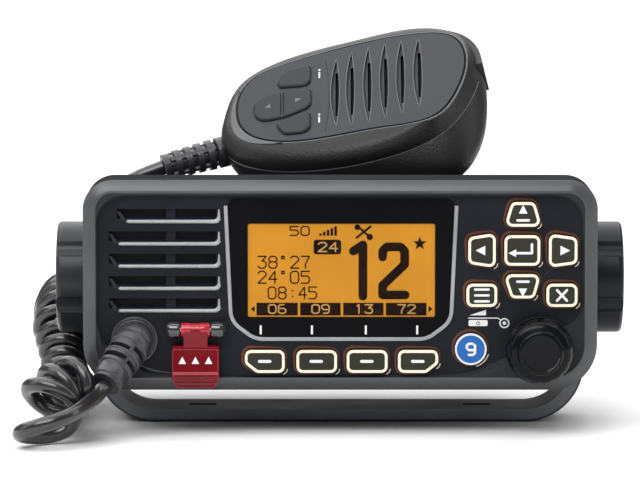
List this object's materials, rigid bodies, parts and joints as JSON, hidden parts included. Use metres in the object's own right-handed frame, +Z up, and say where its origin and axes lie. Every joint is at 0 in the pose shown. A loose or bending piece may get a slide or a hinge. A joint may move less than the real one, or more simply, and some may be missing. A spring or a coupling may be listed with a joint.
{
  "type": "marine vhf radio",
  "caption": "Black marine VHF radio on a U bracket: amber display, louvred speaker, push keys, volume knob, flip cover over a red key, and a handset on a curly cord.",
  "frame": {"origin": "middle of the underside of the mounting bracket foot, on the surface it is screwed to", "axes": "+X to the right of someone facing the front panel, +Y from the panel to the back, +Z up"},
  "size_m": [0.187, 0.1476, 0.1208],
  "materials": {
    "housing_plastic": "fine moulded grain",
    "fascia_plastic": "fine moulded grain, darker than the housing",
    "knob_plastic": "smooth, slightly glossy",
    "window_glass": "smoked display window",
    "bright_trim": "bright silver trim",
    "display_amber": "amber backlit display",
    "key_black": "satin keys with a pale outline",
    "key_blue": "blue key",
    "red_plastic": "deep red, half clear",
    "black_rubber": "satin rubber",
    "grey_rubber": "satin grey rubber",
    "cord_rubber": "smooth cord jacket",
    "board_green": "solder-mask green",
    "black_mesh": "open black cloth",
    "steel": "zinc plated",
    "speaker_paper": "treated paper",
    "ferrite": "dark sintered block",
    "black_plastic_inner": "plain moulded",
    "die_cast": "die casting with black powder coat",
    "brass_inserts": "turned",
    "nickel": "nickel plated"
  },
  "bodies": {
    "radio": {"front_housing": "housing_plastic", "fascia": "fascia_plastic", "grille_trim": "bright_trim", "display_window": "window_glass", "display_trim": "bright_trim", "lcd_module": "display_amber", "keypad_mat": "black_rubber", "control_board": "board_green", "encoder_body": "black_plastic_inner", "distress_hinge_pin": "steel", "speaker_gauze": "black_mesh", "speaker_basket": "steel", "speaker_cone": "speaker_paper", "speaker_magnet": "ferrite", "chassis": "die_cast", "front_seal": "black_rubber", "pivot_inserts": "brass_inserts", "case_screws": "steel", "main_board": "board_green", "rf_shield": "steel", "power_module": "black_plastic_inner", "antenna_socket": "nickel", "rear_glands": "black_rubber", "cord_boot_front": "black_rubber", "cord_lead_front": "cord_rubber", "cord_coil": "cord_rubber", "cord_lead_mic": "cord_rubber"},
    "bracket": {"bracket": "housing_plastic", "knob_washers": "steel"},
    "clamp_left": {"bracket_knob_left": "knob_plastic", "knob_stud_left": "steel"},
    "clamp_right": {"bracket_knob_right": "knob_plastic", "knob_stud_right": "steel"},
    "encoder_shaft": {"encoder_shaft": "steel"},
    "volume_knob": {"volume_knob": "knob_plastic"},
    "distress_cover": {"distress_cover": "red_plastic"},
    "distress_button": {"distress_button": "red_plastic"},
    "handset": {"mic_front_shell": "housing_plastic", "mic_back_shell": "housing_plastic", "mic_board": "board_green", "mic_keypad": "black_rubber", "mic_capsule": "black_plastic_inner", "hanger_stud": "steel", "mic_boot": "black_rubber"},
    "talk_bar": {"ptt_button": "grey_rubber"},
    "mic_key_high": {"mic_key_high": "grey_rubber"},
    "mic_key_rocker": {"mic_key_rocker": "grey_rubber"},
    "mic_key_low": {"mic_key_low": "grey_rubber"},
    "key_up": {"key_up": "key_black"},
    "key_down": {"key_down": "key_black"},
    "key_left": {"key_left": "key_black"},
    "key_right": {"key_right": "key_black"},
    "key_enter": {"key_enter": "key_black"},
    "key_menu": {"key_menu": "key_black"},
    "key_clear": {"key_clear": "key_black"},
    "key_channel": {"key_channel": "key_blue"},
    "soft_key_1": {"soft_key_1": "key_black"},
    "soft_key_2": {"soft_key_2": "key_black"},
    "soft_key_3": {"soft_key_3": "key_black"},
    "soft_key_4": {"soft_key_4": "key_black"}
  },
  "joints": [
    {"name": "bracket_tilt", "type": "hinge", "parent": "radio", "child": "bracket", "pos_m": [0, 0, 0.0442], "axis": [1, 0, 0], "range_deg": [-15, 15]},
    {"name": "clamp_left_turn", "type": "hinge", "parent": "bracket", "child": "clamp_left", "pos_m": [-0.083, 0, 0.0442], "axis": [-1, 0, 0], "continuous": true},
    {"name": "clamp_right_turn", "type": "hinge", "parent": "bracket", "child": "clamp_right", "pos_m": [0.083, 0, 0.0442], "axis": [1, 0, 0], "continuous": true},
    {"name": "volume_push", "type": "slide", "parent": "radio", "child": "encoder_shaft", "axis": [0, 1, 0], "range_m": [0, 0.0005], "stiffness_N_per_m": 4000, "springref_m": -0.0004},
    {"name": "volume_turn", "type": "hinge", "parent": "encoder_shaft", "child": "volume_knob", "pos_m": [0.0606, -0.048, 0.0264], "axis": [0, -1, 0], "continuous": true},
    {"name": "distress_cover_hinge", "type": "hinge", "parent": "radio", "child": "distress_cover", "pos_m": [-0.044, -0.043, 0.0324], "axis": [-1, 0, 0], "range_deg": [0, 110], "stiffness_Nm_per_rad": 0.002, "springref_deg": -28.65},
    {"name": "distress_press", "type": "slide", "parent": "radio", "child": "distress_button", "axis": [0, 1, 0], "range_m": [0, 0.001], "stiffness_N_per_m": 1800, "springref_m": -0.0006},
    {"name": "handset_lift", "type": "slide", "parent": "radio", "child": "handset", "axis": [0, 0, 1], "range_m": [0, 0.06]},
    {"name": "talk_press", "type": "slide", "parent": "handset", "child": "talk_bar", "axis": [-0.0024, -0.8211, -0.5708], "range_m": [0, 0.0015], "stiffness_N_per_m": 1500, "springref_m": -0.0008},
    {"name": "mic_key_high_press", "type": "slide", "parent": "handset", "child": "mic_key_high", "axis": [0.2921, 0.5453, -0.7857], "range_m": [0, 0.0006], "stiffness_N_per_m": 2000, "springref_m": -0.0004},
    {"name": "mic_key_low_press", "type": "slide", "parent": "handset", "child": "mic_key_low", "axis": [0.2921, 0.5453, -0.7857], "range_m": [0, 0.0006], "stiffness_N_per_m": 2000, "springref_m": -0.0004},
    {"name": "mic_key_rock", "type": "hinge", "parent": "handset", "child": "mic_key_rocker", "pos_m": [-0.01713, 0.01336, 0.09525], "axis": [0.0024, 0.8211, 0.5708], "range_deg": [-2.5, 2.5], "stiffness_Nm_per_rad": 0.3},
    {"name": "key_up_press", "type": "slide", "parent": "radio", "child": "key_up", "axis": [0, 1, 0], "range_m": [0, 0.0008], "stiffness_N_per_m": 1800, "springref_m": -0.0005},
    {"name": "key_down_press", "type": "slide", "parent": "radio", "child": "key_down", "axis": [0, 1, 0], "range_m": [0, 0.0008], "stiffness_N_per_m": 1800, "springref_m": -0.0005},
    {"name": "key_left_press", "type": "slide", "parent": "radio", "child": "key_left", "axis": [0, 1, 0], "range_m": [0, 0.0008], "stiffness_N_per_m": 1800, "springref_m": -0.0005},
    {"name": "key_right_press", "type": "slide", "parent": "radio", "child": "key_right", "axis": [0, 1, 0], "range_m": [0, 0.0008], "stiffness_N_per_m": 1800, "springref_m": -0.0005},
    {"name": "key_enter_press", "type": "slide", "parent": "radio", "child": "key_enter", "axis": [0, 1, 0], "range_m": [0, 0.0008], "stiffness_N_per_m": 1800, "springref_m": -0.0005},
    {"name": "key_menu_press", "type": "slide", "parent": "radio", "child": "key_menu", "axis": [0, 1, 0], "range_m": [0, 0.0008], "stiffness_N_per_m": 1800, "springref_m": -0.0005},
    {"name": "key_clear_press", "type": "slide", "parent": "radio", "child": "key_clear", "axis": [0, 1, 0], "range_m": [0, 0.0008], "stiffness_N_per_m": 1800, "springref_m": -0.0005},
    {"name": "key_channel_press", "type": "slide", "parent": "radio", "child": "key_channel", "axis": [0, 1, 0], "range_m": [0, 0.0008], "stiffness_N_per_m": 1800, "springref_m": -0.0005},
    {"name": "soft_key_1_press", "type": "slide", "parent": "radio", "child": "soft_key_1", "axis": [0, 1, 0], "range_m": [0, 0.0008], "stiffness_N_per_m": 1800, "springref_m": -0.0005},
    {"name": "soft_key_2_press", "type": "slide", "parent": "radio", "child": "soft_key_2", "axis": [0, 1, 0], "range_m": [0, 0.0008], "stiffness_N_per_m": 1800, "springref_m": -0.0005},
    {"name": "soft_key_3_press", "type": "slide", "parent": "radio", "child": "soft_key_3", "axis": [0, 1, 0], "range_m": [0, 0.0008], "stiffness_N_per_m": 1800, "springref_m": -0.0005},
    {"name": "soft_key_4_press", "type": "slide", "parent": "radio", "child": "soft_key_4", "axis": [0, 1, 0], "range_m": [0, 0.0008], "stiffness_N_per_m": 1800, "springref_m": -0.0005}
  ]
}
